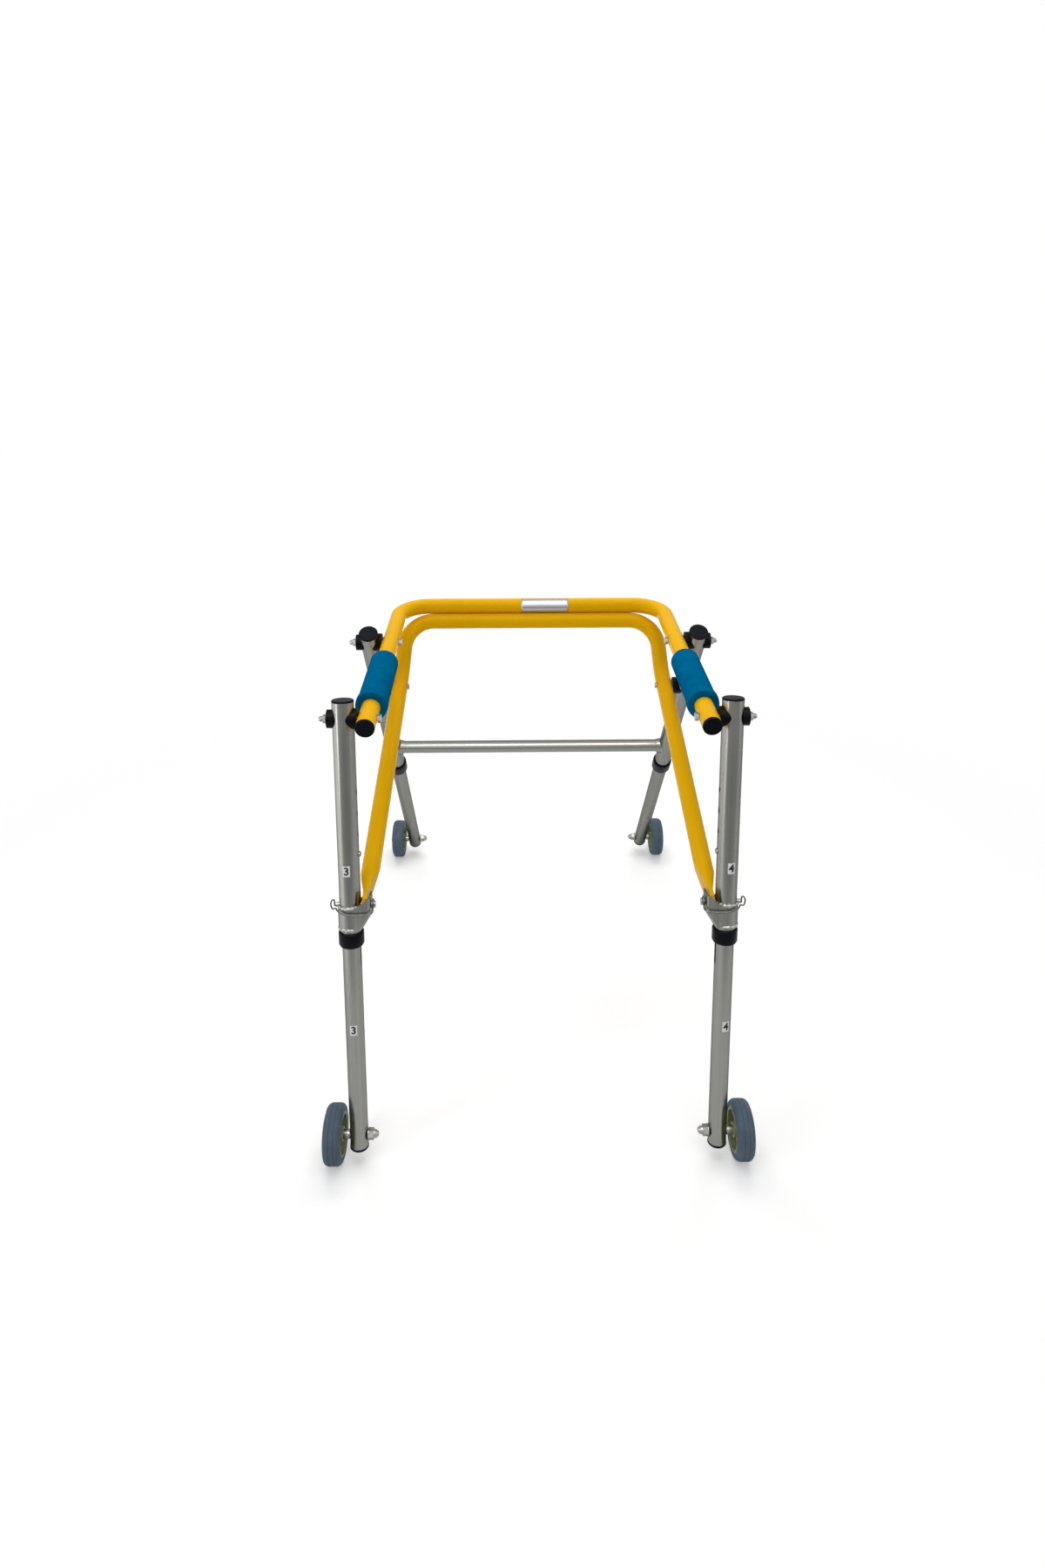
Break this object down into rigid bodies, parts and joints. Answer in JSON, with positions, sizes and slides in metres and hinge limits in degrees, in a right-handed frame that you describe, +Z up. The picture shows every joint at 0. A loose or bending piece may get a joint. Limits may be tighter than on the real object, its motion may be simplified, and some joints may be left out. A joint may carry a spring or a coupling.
{
  "type": "posterior walker",
  "caption": "Folding posterior walker for a child, with a U-shaped hand rail, foam grips, a lower brace, telescoping legs and a wheel on each leg",
  "frame": {"origin": "on the floor, midway between the front and rear axles and between the left and right wheels", "axes": "+Z up, +Y to the rear (the back bar and the rear wheels), -Y to the open front that the child faces, +X to the right as seen from the open front"},
  "size_m": [0.603, 0.862, 0.6751],
  "materials": {
    "yellow_paint": "glossy amber-yellow powder coat",
    "aluminium": "satin anodised tube",
    "zinc_steel": "bright zinc-plated fasteners and wire",
    "black_plastic": "moulded black plastic with a low sheen",
    "blue_foam": "matte closed-cell foam",
    "grey_tyre": "smooth blue-grey solid rubber",
    "hub_nylon": "yellow-grey moulded nylon"
  },
  "bodies": {
    "rail": {"top_rail": "yellow_paint", "rail_end_plug_left": "black_plastic", "rail_end_plug_right": "black_plastic", "foam_grip_left": "blue_foam", "foam_grip_right": "blue_foam", "front_pivot_bolt_left": "zinc_steel", "front_pivot_bolt_right": "zinc_steel", "rear_pivot_bolt_left": "zinc_steel", "rear_pivot_bolt_right": "zinc_steel"},
    "front_leg_left": {"front_upper_leg_left": "aluminium", "front_leg_cap_left": "black_plastic", "front_collar_left": "black_plastic", "front_washer_left": "black_plastic", "front_spacer_left": "black_plastic", "brace_pin_left": "zinc_steel"},
    "front_leg_right": {"front_upper_leg_right": "aluminium", "front_leg_cap_right": "black_plastic", "front_collar_right": "black_plastic", "front_washer_right": "black_plastic", "front_spacer_right": "black_plastic", "brace_pin_right": "zinc_steel"},
    "rear_legs": {"rear_frame": "aluminium", "rear_leg_cap_left": "black_plastic", "rear_leg_cap_right": "black_plastic", "rear_collar_left": "black_plastic", "rear_collar_right": "black_plastic", "rear_washer_left": "black_plastic", "rear_washer_right": "black_plastic", "rear_spacer_left": "black_plastic", "rear_spacer_right": "black_plastic", "cross_bolt_left": "zinc_steel", "cross_bolt_right": "zinc_steel", "cross_spacer_left": "black_plastic", "cross_spacer_right": "black_plastic"},
    "brace": {"lower_brace": "yellow_paint"},
    "foot_front_left": {"front_lower_leg_left": "aluminium", "front_foot_plug_left": "black_plastic", "axle_bolt_front_left": "zinc_steel"},
    "foot_front_right": {"front_lower_leg_right": "aluminium", "front_foot_plug_right": "black_plastic", "axle_bolt_front_right": "zinc_steel"},
    "foot_rear_left": {"rear_lower_leg_left": "aluminium", "rear_foot_plug_left": "black_plastic", "axle_bolt_rear_left": "zinc_steel"},
    "foot_rear_right": {"rear_lower_leg_right": "aluminium", "rear_foot_plug_right": "black_plastic", "axle_bolt_rear_right": "zinc_steel"},
    "wheel_front_left": {"wheel_hub_front_left": "hub_nylon", "tyre_front_left": "grey_tyre"},
    "wheel_front_right": {"wheel_hub_front_right": "hub_nylon", "tyre_front_right": "grey_tyre"},
    "wheel_rear_left": {"wheel_hub_rear_left": "hub_nylon", "tyre_rear_left": "grey_tyre"},
    "wheel_rear_right": {"wheel_hub_rear_right": "hub_nylon", "tyre_rear_right": "grey_tyre"},
    "button_left": {"lock_button_left": "zinc_steel"},
    "button_right": {"lock_button_right": "zinc_steel"},
    "bail_left": {"pin_bail_left": "zinc_steel"},
    "bail_right": {"pin_bail_right": "zinc_steel"}
  },
  "joints": [
    {"name": "frame_fold", "type": "hinge", "parent": "rail", "child": "rear_legs", "pos_m": [0, -0.04138, 0.64841], "axis": [1, 0, 0], "range_deg": [-35, 0]},
    {"name": "front_leg_fold_left", "type": "hinge", "parent": "rail", "child": "front_leg_left", "pos_m": [-0.2515, -0.28723, 0.62852], "axis": [1, 0, 0], "range_deg": [-24, 0]},
    {"name": "front_leg_fold_right", "type": "hinge", "parent": "rail", "child": "front_leg_right", "pos_m": [0.2515, -0.28723, 0.62852], "axis": [1, 0, 0], "range_deg": [-24, 0]},
    {"name": "brace_fold", "type": "hinge", "parent": "rear_legs", "child": "brace", "pos_m": [0, 0.03185, 0.54538], "axis": [1, 0, 0], "range_deg": [0, 27]},
    {"name": "height_front_left", "type": "slide", "parent": "front_leg_left", "child": "foot_front_left", "axis": [0, 0.1736, 0.9848], "range_m": [0, 0.0855]},
    {"name": "height_front_right", "type": "slide", "parent": "front_leg_right", "child": "foot_front_right", "axis": [0, 0.1736, 0.9848], "range_m": [0, 0.0855]},
    {"name": "height_rear_left", "type": "slide", "parent": "rear_legs", "child": "foot_rear_left", "axis": [0, -0.5793, 0.8151], "range_m": [0, 0.0855]},
    {"name": "height_rear_right", "type": "slide", "parent": "rear_legs", "child": "foot_rear_right", "axis": [0, -0.5793, 0.8151], "range_m": [0, 0.0855]},
    {"name": "roll_front_left", "type": "hinge", "parent": "foot_front_left", "child": "wheel_front_left", "pos_m": [-0.2847, -0.391, 0.04], "axis": [1, 0, 0], "continuous": true},
    {"name": "roll_front_right", "type": "hinge", "parent": "foot_front_right", "child": "wheel_front_right", "pos_m": [0.2847, -0.391, 0.04], "axis": [1, 0, 0], "continuous": true},
    {"name": "roll_rear_left", "type": "hinge", "parent": "foot_rear_left", "child": "wheel_rear_left", "pos_m": [-0.2847, 0.391, 0.04], "axis": [1, 0, 0], "continuous": true},
    {"name": "roll_rear_right", "type": "hinge", "parent": "foot_rear_right", "child": "wheel_rear_right", "pos_m": [0.2847, 0.391, 0.04], "axis": [1, 0, 0], "continuous": true},
    {"name": "press_button_left", "type": "slide", "parent": "front_leg_left", "child": "button_left", "axis": [-1, 0, 0], "range_m": [0, 0.0044], "stiffness_N_per_m": 600},
    {"name": "press_button_right", "type": "slide", "parent": "front_leg_right", "child": "button_right", "axis": [1, 0, 0], "range_m": [0, 0.0044], "stiffness_N_per_m": 600},
    {"name": "open_bail_left", "type": "hinge", "parent": "front_leg_left", "child": "bail_left", "pos_m": [-0.2203, -0.33144, 0.37779], "axis": [0, 0.1736, 0.9848], "range_deg": [0, 100]},
    {"name": "open_bail_right", "type": "hinge", "parent": "front_leg_right", "child": "bail_right", "pos_m": [0.2203, -0.33144, 0.37779], "axis": [0, 0.1736, 0.9848], "range_deg": [-100, 0]}
  ],
  "couplings": [
    {"joint": "front_leg_fold_left", "follows": "frame_fold", "ratio": 0.6461},
    {"joint": "front_leg_fold_right", "follows": "frame_fold", "ratio": 0.6461},
    {"joint": "brace_fold", "follows": "frame_fold", "ratio": -0.7352}
  ]
}
